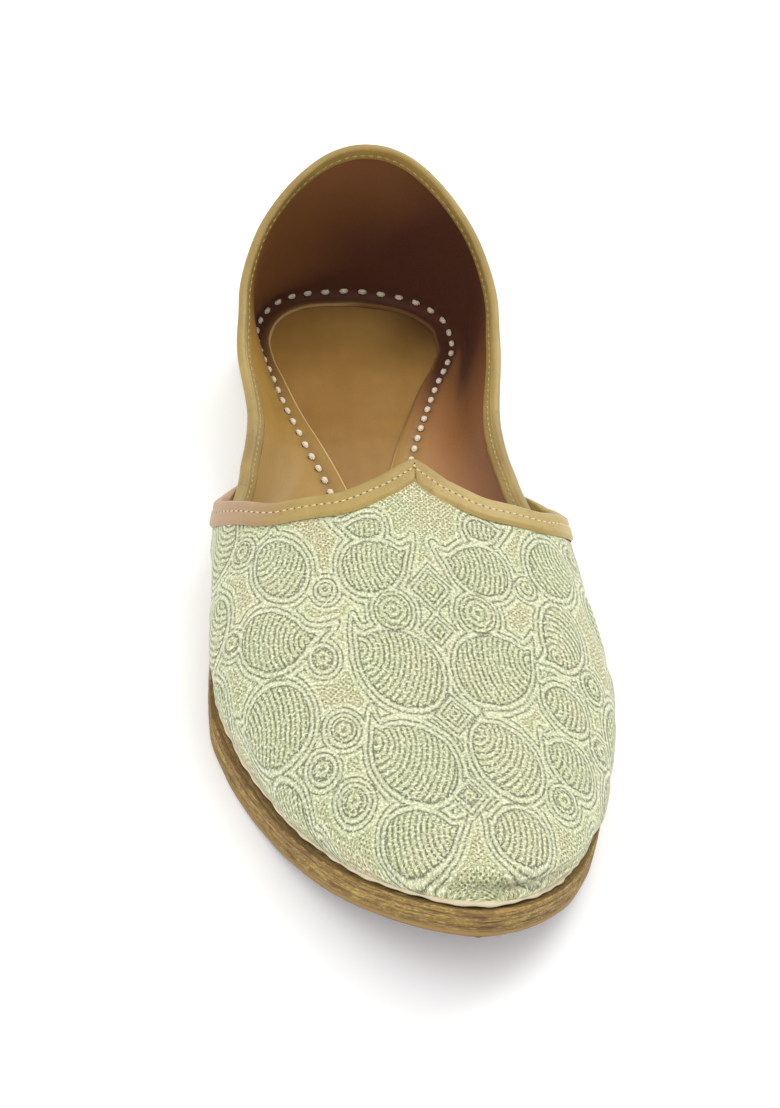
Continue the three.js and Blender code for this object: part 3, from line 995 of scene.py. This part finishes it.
def hand_stitch_places():
    turn = np.linspace(-STITCH_REACH, STITCH_REACH, 1600)
    line, _ = row_on_path(turn, STITCH_INSET)
    window = 25
    padded = np.pad(line, ((window // 2, window // 2), (0, 0)), mode="edge")
    kernel = np.ones(window) / window
    line = np.stack([np.convolve(padded[:, k], kernel, "valid") for k in range(3)], axis=1)
    shares = spaced(line, STITCH_PITCH)
    index = shares * (len(turn) - 1)
    _, inward = row_on_path(turn[0] + (turn[-1] - turn[0]) * shares, STITCH_INSET)
    along = unit(sample(line, index + 8) - sample(line, index - 8))
    return sample(line, index), along, facing(unit(np.cross(along, inward)), UP)


def make_quarter_lining():
    turn = np.linspace(1, -1, 640)
    path, rim, to_cut = lining_path(turn)
    grid = np.concatenate([path, rim], axis=1)
    nearest = np.full(grid.shape[:2], 99.0)
    for stitch in hand_stitch_places()[0]:
        nearest = np.minimum(nearest, np.linalg.norm(grid - stitch, axis=-1))
    depth = np.concatenate([to_cut, np.zeros(rim.shape[:2])], axis=1)
    on_rows = np.abs(turn)[:, None] < STITCH_REACH
    channel = bell(depth, STITCH_INSET, 1.5) * on_rows
    high = grid[..., 2] - footbed_height(station(grid))
    wrinkle = np.sin(grid[..., 0] / 7.0 + grid[..., 2] / 6.0) * np.sin(grid[..., 1] / 9.0)
    height = -0.38 * bell(nearest, 0, 1.25) - 0.22 * channel
    height = height + 0.14 * bell(depth, STITCH_INSET - 2.4, 1.2) * on_rows
    height = height + 0.2 * wrinkle * smoothstep(depth, 3, 8)
    grid = grid + grid_normals(grid) * height[..., None]

    # Painted shade: the lining is darker low at the heel, on the medial wall and along the row of
    # stitches.
    at, x = station(grid), grid[..., 0]
    medial = smoothstep(x, 4, 32)
    heel = (1 - smoothstep(at, 20, 82 - 14 * (1 - medial))) * smoothstep(high, 0.5, 3.5)
    deep = 1 - 0.5 * smoothstep(high, 16, 46)
    near_heel = 1 - smoothstep(at, 24, 80)
    shade = (0.34 + (0.56 * bell(x, 5, 24) + 0.42 * medial) * deep + 0.3 * bell(high, 4, 6)) * heel
    shade = shade + (0.26 * smoothstep(high, -1, 7) * (1 - heel) + 0.3) * medial
    shade = shade + (0.26 + 0.6 * near_heel) * channel
    shade = shade + (0.16 + 0.6 * near_heel) * bell(depth, 2.2, 2.2) * on_rows
    # Redder tint of the painted shade on the heel and medial walls and the medial flap.
    shade_tint = smoothstep(x, 4, 24) + (1 - smoothstep(at, 24, 72)) * smoothstep(high, 0.5, 4)
    sheet("quarter_lining", grid, LINING, "lining_leather", flipped=True,
          attributes={"shade": np.clip(shade, 0, 0.95), "shade_tint": np.clip(shade_tint, 0, 0.85)})

    behind, ahead = row_on_path(turn, 0.4)
    cut = np.concatenate([path[:, -1:], rim], axis=1) + ahead[:, None] * 0.06
    cut = np.concatenate([behind[:, None], cut], axis=1) + UP * 0.03
    dim = 0.9 * smoothstep(cut[..., 0], -6, 16) + 0.55 * bell(station(cut), 2, 14)
    sheet("flap_cut_edge", cut, RAW_EDGE, "lining_leather", flipped=True,
          attributes={"shade": np.clip(dim, 0, 0.92)})


# ---- Bindings ------------------------------------------------------------------------------

MARCH_STEPS = 9
STITCH_COLUMN = 6        # column of a binding's grid along which its stitches run


def slopes(surface, p, q, step):
    """How a surface point moves with each of its two parameters."""
    by_p = surface(p + step, q) - surface(p - step, q)
    by_q = surface(p, q + step) - surface(p, q - step)
    return by_p / (2 * step), by_q / (2 * step)


def march(surface, p, q, tangent, distance, heading):
    """Moves over a surface at right angles to an edge, starting off the way `heading` points.
    Returns the surface's two parameters after each step."""
    trail = [(p, q)]
    for _ in range(MARCH_STEPS):
        by_p, by_q = slopes(surface, p, q, 1e-3)
        normal = unit(np.cross(by_p, by_q))
        heading = facing(unit(np.cross(normal, tangent)), heading)
        pp, qq, pq = np.sum(by_p * by_p, -1), np.sum(by_q * by_q, -1), np.sum(by_p * by_q, -1)
        wp, wq = np.sum(heading * by_p, -1), np.sum(heading * by_q, -1)
        stride = distance / MARCH_STEPS / np.maximum(pp * qq - pq * pq, 1e-9)
        p, q = p + (wp * qq - wq * pq) * stride, q + (wq * pp - wp * pq) * stride
        trail.append((p, q))
    return trail


def shortened(values, share):
    """A grid's columns squeezed into the first `share` of its width."""
    index = np.arange(values.shape[1]) * share
    low = np.minimum(index.astype(int), values.shape[1] - 2)
    part = (index - low)[None, :, None]
    return values[:, low] * (1 - part) + values[:, low + 1] * part


def binding_grid(surface, p, q, nudge, width, limit, thick, outward, inner_share=1.0):
    """A leather strip folded over an edge, as a grid: outer leaf, rounded fold and inner leaf,
    whose width is `inner_share` of the outer one's. `nudge` is a step in q off the edge and
    `limit` keeps the two parameters on the surface."""
    line = surface(p, q)
    trail = march(surface, p, q, edge_tangents(line), width, surface(p, q + nudge) - line)
    trail = [limit(*spot) for spot in trail]
    leaf = np.stack([surface(*spot) for spot in trail], axis=1)
    normals = [facing(unit(np.cross(*slopes(surface, *spot, 2e-3))), outward) for spot in trail]
    normals = np.stack(normals, axis=1)
    reach = arc_length(leaf, 1)
    wide = reach[:, -1:]
    pillow = thick * (1 - 0.35 * bell(reach, 2.0, 0.55))
    pillow = pillow * (1 - smoothstep(reach, wide - 0.7, wide) * 1.25)
    outer = leaf + normals * pillow[..., None]
    inner_normals = unit(shortened(normals, inner_share))
    inner = shortened(leaf, inner_share) - inner_normals * (WALL + pillow * 0.5)[..., None]
    away = unit(leaf[:, 0] - leaf[:, 1])
    middle = leaf[:, 0] - normals[:, 0] * WALL / 2
    radius = WALL / 2 + pillow[:, :1] * 0.75
    angles = np.linspace(0, math.pi, 9)[1:-1]
    fold = [middle + (normals[:, 0] * math.cos(a) + away * math.sin(a)) * radius for a in angles]
    return np.concatenate([outer[:, ::-1], np.stack(fold, axis=1), inner], axis=1)


def edge_tangents(points):
    return unit(np.gradient(points, axis=0))


def stitch_mesh(name, centres, along, normal, length, radius, material):
    """Many short round-ended stitches as one mesh, each half sunk into what it is sewn on."""
    rings, around = 7, 8
    t = np.linspace(-1, 1, rings)
    fat = np.sqrt(np.maximum(0, 1 - np.abs(t) ** 3.0)) * 0.92 + 0.08
    fat[0] = fat[-1] = 0.02
    across = unit(np.cross(normal, along))
    shape = []
    for k in range(rings):
        lift = 0.35 * (1 - t[k] ** 2) * radius
        for a in np.linspace(0, 2 * math.pi, around, endpoint=False):
            side, up = math.cos(a) * radius * fat[k], math.sin(a) * radius * 0.75 * fat[k] + lift
            shape.append(centres + along * (t[k] * length / 2) + across * side + normal * up)
    index = np.arange(rings * around).reshape(rings, around)
    turned = np.roll(index, -1, axis=1)
    faces = np.stack([index[:-1], turned[:-1], turned[1:], index[1:]], axis=-1).reshape(-1, 4)
    firsts = np.arange(len(centres)) * index.size
    piece(name, np.stack(shape, axis=1), (faces + firsts[:, None, None]).reshape(-1, 4), material,
          "stitch_thread")


def run_stitches(name, grid, column, pitch, length, radius, material, face=1, shift=0.0):
    """A running stitch along one column of a binding's grid, moved on by `shift` pitches."""
    line = grid[:, column]
    shares = spaced(line, pitch)
    index = (shares + shift / len(shares)) * (len(line) - 1)
    along = unit(sample(line, index + 1) - sample(line, index - 1))
    normal = unit(sample(grid_normals(grid)[:, column], index)) * face
    stitch_mesh(name, sample(line, index), along, normal, length, radius, material)


def make_throat_binding():
    count, least = 460, 1e-4

    def surface(p, q):
        return vamp_point(q, np.clip(p, -1, 1))

    halves = []
    for side in (LATERAL, MEDIAL):
        share = np.linspace(0, 1, count // 2)[::side]
        p = side * np.maximum(share, least)
        q = np.zeros_like(p)
        outward = (surface(p, q) - (2.0, 0, 0)) * (1, 0, 1)
        halves.append(binding_grid(
            surface, p, q, nudge=0.02, width=5.4, thick=0.62, outward=outward,
            limit=lambda p, q: (side * np.clip(side * p, least, 1), np.clip(q, 0, 1)),
        ))
    grid = np.concatenate(halves, axis=0)
    lateral_end = 0.75 * smoothstep(-grid[:, :1, 0], 24, 42)
    sheet("throat_binding", grid, BINDING, "binding_leather", flipped=True,
          attributes={"shade": np.broadcast_to(lateral_end, grid.shape[:2])})
    run_stitches("throat_stitches", grid, STITCH_COLUMN, pitch=1.8, length=1.15, radius=0.29,
                 material=GOLD_THREAD, face=-1)
    # Painted shade: short dark marks between the stitches, for the shadow in the needle holes.
    run_stitches("throat_needle_hole_shade", grid, STITCH_COLUMN, pitch=1.8, length=0.55, radius=0.24,
                 material=HOLE_SHADE, face=-1, shift=0.5)


def make_collar_binding():
    turn = np.linspace(0.985, -0.985, 700)

    def surface(p, q):
        return quarter_point(np.clip(p, -1, 1), q)

    grid = binding_grid(
        surface, turn, np.ones_like(turn), nudge=-0.05, width=5.6, thick=0.5, inner_share=0.6,
        outward=quarter_outward(turn), limit=lambda p, q: (p, np.clip(q, 0.02, 1)),
    )
    sheet("collar_binding", grid, COLLAR, "binding_leather")
    run_stitches("collar_stitches", grid, STITCH_COLUMN, pitch=2.1, length=1.45, radius=0.26,
                 material=GOLD_THREAD)
    run_stitches("collar_stitches_inside", grid, grid.shape[1] - STITCH_COLUMN, pitch=2.4,
                 length=1.5, radius=0.22, material=OLIVE_THREAD)


# ---- Raw edge of the cloth at the sole ------------------------------------------------------


def fray(walk, coarse, first_wave, second_wave, fine, fine_wave):
    ragged = np.sin(walk / first_wave) * np.sin(walk / second_wave + 1)
    return coarse * ragged + fine * np.sin(walk / fine_wave)


def raw_edge(name, line, outward, gap, ragged, corner, bulge, thick):
    """The cloth's frayed cut edge as a closed strip, `gap` above a line and standing out to
    `corner`, or to `bulge` at its widest."""
    count = len(line)
    ends = smoothstep(np.minimum(np.arange(count), np.arange(count)[::-1]), 0, 3)
    profile = (
        (-1.3, gap), (corner + ragged, gap), (bulge + ragged, gap + 0.3),
        (corner + ragged * 0.5, gap + thick - 0.1 + ragged), (-1.3, gap + thick),
    )
    ring = [line + outward * (out * ends)[:, None] + UP * (up * ends)[:, None] for out, up in profile]
    sheet(name, np.stack(ring + ring[:1], axis=1), RAW_CLOTH, "brocade")


def make_raw_edges():
    half = np.linspace(0, 1, 240)
    lateral, medial = vamp_point(half, -np.ones_like(half)), vamp_point(half[::-1], np.ones_like(half))
    line = np.concatenate([lateral, medial[1:]])
    tangent = edge_tangents(line)
    outward = unit(np.stack([tangent[:, 1], -tangent[:, 0], np.zeros(len(line))], axis=1))
    outward = facing(outward, line - (3, -110, 12))
    walk = arc_length(line, 0)
    gap = 0.55 + 0.45 * (0.5 + 0.5 * np.sin(walk / 17.0)) * (1 - smoothstep(walk, 170, 260))
    raw_edge("vamp_raw_edge", line, outward, gap, fray(walk, 0.22, 2.3, 5.9, 0.12, 0.9),
             corner=0.5, bulge=0.68, thick=0.85)
    turn = np.linspace(-0.985, 0.985, 520)
    seam = quarter_seam(turn)
    ragged = fray(arc_length(seam, 0), 0.18, 2.6, 6.7, 0.1, 0.95)
    raw_edge("quarter_raw_edge", seam, quarter_outward(turn), 0.6 + 0.5 * bell(turn, 0.0, 0.45),
             ragged, corner=0.4, bulge=0.55, thick=0.8)


# ---- Footbed and sole ----------------------------------------------------------------------

CAP_SHARES = (0.0, 0.12, 0.25, 0.38, 0.5, 0.62, 0.75, 0.86, 0.94)


def footbed_inset(at):
    ahead = VAMP_INSET + TOE_CLEARANCE * smoothstep(at, LENGTH - TOE_ROUND, LENGTH)
    blend = smoothstep(at, QUARTER_FRONT, QUARTER_FRONT + 12)
    return quarter_inset(at) * (1 - blend) + ahead * blend + WALL + GAP


def flush(at):
    return 0.0 * at


def flat_face(at, share):
    return 0.0 * at


def outline(inset, count=460):
    """Closed outline of a layer: stations, plan points and ways out, round from the heel."""
    theta = np.linspace(0, 2 * math.pi, count, endpoint=False)
    start, end = inset(0.0), LENGTH - inset(LENGTH)
    at = start + (end - start) * (1 - np.cos(theta)) / 2
    side = np.where(theta < math.pi, LATERAL, MEDIAL)
    plan = np.stack([edge(at, side, inset(at)), HEEL_REST - at], axis=1)
    spine = np.stack([sole_centre(at), HEEL_REST - at], axis=1)
    tangent = unit(np.roll(plan, -1, axis=0) - np.roll(plan, 1, axis=0))
    outward = facing(np.stack([tangent[:, 1], -tangent[:, 0]], axis=1), plan - spine)
    return at, plan, spine, outward


def slab(name, inset, bottom, top, rows, material, slot, hides, dome=flat_face, shade=None):
    """A layer of the sole. `rows` are (share of the height, way out) up its edge."""
    at, plan, spine, outward = outline(inset)
    low, high = bottom(at), top(at)
    walk = arc_length(np.concatenate([plan, plan[:1]]), 0)[:-1]
    rings, marks = [], []

    def cap(z, shares, lift):
        for share in shares:
            flat = spine + (plan + outward * rows[0][1] - spine) * share
            rings.append(np.column_stack([flat, z + lift(at, share)]))
            marks.append(0 * at)

    cap(low, CAP_SHARES, flat_face)
    for share, out in rows:
        rough = 0.09 * np.sin(walk / 3.1 + 9 * share) * np.sin(walk / 7.3 + 23 * share)
        z = low + (high - low) * share
        rings.append(np.column_stack([plan + outward * (out + rough)[:, None], z]))
        marks.append((high - low) * share)
    cap(high, CAP_SHARES[::-1], dome)
    rings, marks = np.stack(rings, axis=1), np.stack(marks, axis=1)
    grid = np.concatenate([rings, rings[:1]], axis=0)
    up = np.concatenate([marks, marks[:1]], axis=0)
    around = np.broadcast_to(np.append(walk, walk[-1] + 1)[:, None], up.shape)
    attributes = {"shade": shade(station(grid), grid[..., 0], up)} if shade else None
    sheet(name, grid, material, slot, hides=hides, attributes=attributes,
          uv=np.stack([around, up], axis=-1), sharp=50)


def layered_rows(layers, bulge, groove, corner):
    """Edge of stacked leather: each layer stands out a little between shallow grooves."""
    rows = [(0.0, -corner), (0.02, -corner * 0.4)]
    for k in range(layers):
        for t in (0.12, 0.35, 0.65, 0.88):
            rows.append(((k + t) / layers, bulge * math.sin(math.pi * t)))
        if k + 1 < layers:
            rows.append(((k + 1) / layers, -groove))
    return rows + [(0.98, -corner * 0.4), (1.0, -corner)]


def outsole_top(at):
    return sole_lift(at) + OUTSOLE


def hollow(at, share):
    """The footbed's wear under the heel and the ball."""
    worn = bell(at, 34, 26) + 0.8 * bell(at, 205, 34)
    return -0.35 * worn * (1 - share**2)


def toe_edge(at, x, up):
    return smoothstep(at, 130, 215) * smoothstep(up, 0.1, 0.4)


def footbed_shade(at, x, up):
    corner = 0.8 * bell(at, 14, 18) * smoothstep(x, 2, 26)
    ahead = 0.34 * smoothstep(at, 14, 80) + 0.4 * smoothstep(at, 140, 190)
    return np.clip(corner + 0.15 * bell(at, 4, 8) + ahead, 0, 0.95)


def make_sole():
    slab("midsole_stack", flush, lambda at: outsole_top(at) + 0.12, sole_seat,
         layered_rows(layers=4, bulge=0.12, groove=0.16, corner=0.3), SOLE_EDGE, "sole_leather",
         ["midsole"])
    slab("outsole_sheet", flush, sole_lift, lambda at: outsole_top(at) + 0.1,
         [(0, -0.35), (0.15, -0.1), (0.5, 0.05), (0.85, -0.05), (1, -0.25)], OUTSOLE_LEATHER,
         "outsole_leather", ["outsole"], shade=toe_edge)
    slab("footbed", footbed_inset, lambda at: sole_seat(at) + GAP * 0.3, footbed_height,
         [(0, -0.1), (0.5, 0.0), (0.85, -0.05), (1, -0.35)], FOOTBED, "footbed_leather", ["insole"],
         dome=hollow, shade=footbed_shade)


def make_hand_stitches():
    points, along, normal = hand_stitch_places()
    stitch_mesh("hand_stitches", points - normal * 0.15, along, normal, length=2.9, radius=0.86,
                material=CREAM_THREAD)


make_vamp_cloth()
make_vamp_lining()
make_quarter_cloth()
make_quarter_lining()
make_throat_binding()
make_collar_binding()
make_raw_edges()
make_sole()
make_hand_stitches()

# ---- Floor, light and camera ---------------------------------------------------------------


def make_floor(reach, colour, rough, glow):
    mesh = bpy.data.meshes.new("floor")
    corners = [(-reach, -reach, 0), (reach, -reach, 0), (reach, reach, 0), (-reach, reach, 0)]
    mesh.from_pydata(corners, [], [(0, 1, 2, 3)])
    g = Graph("floor")
    mesh.materials.append(g.finish(colour, rough, Emission_Color=colour, Emission_Strength=glow))
    add_object("floor", mesh)


def aimed(spot, aim):
    """The turn that points a light or a camera at `spot` towards `aim`."""
    return (Vector(aim) - Vector(spot)).to_track_quat("-Z", "Y")


def area_light(name, spot, size, power, colour=(1, 1, 1)):
    light = bpy.data.lights.new(name, "AREA")
    light.energy, light.size, light.color = power, size, colour
    holder = add_object(name, light)
    holder.location = spot
    holder.rotation_euler = aimed(spot, (0, -0.1, 0.02)).to_euler()


def make_world(colour, strength):
    world = bpy.data.worlds.new("studio")
    world.use_nodes = True
    background = world.node_tree.nodes["Background"]
    background.inputs[0].default_value = (*colour, 1)
    background.inputs[1].default_value = strength
    bpy.context.scene.world = world


def make_camera(eye, aim, roll, lens_angle):
    camera = bpy.data.cameras.new("camera")
    camera.sensor_fit = "VERTICAL"
    camera.angle = math.radians(lens_angle)
    camera.clip_start = 0.01
    holder = add_object("camera", camera)
    turned = aimed(eye, aim).to_matrix().to_4x4() @ Matrix.Rotation(math.radians(roll), 4, "Z")
    holder.matrix_world = Matrix.Translation(Vector(eye)) @ turned
    bpy.context.scene.camera = holder


make_floor(reach=6.0, colour=(0.95, 0.95, 0.95), rough=0.9, glow=0.08)
area_light("key", (0.55, 0.4, 0.95), size=0.8, power=6, colour=(1.0, 0.98, 0.95))
area_light("fill", (-0.7, -0.7, 0.9), size=1.2, power=4)
make_world((1.0, 1.0, 1.0), strength=1.04)
make_camera(eye=(-0.057, -0.496, 0.293), aim=(0.0, -0.118, 0.02), roll=7.0, lens_angle=33)
bpy.context.scene.view_settings.view_transform = "Standard"
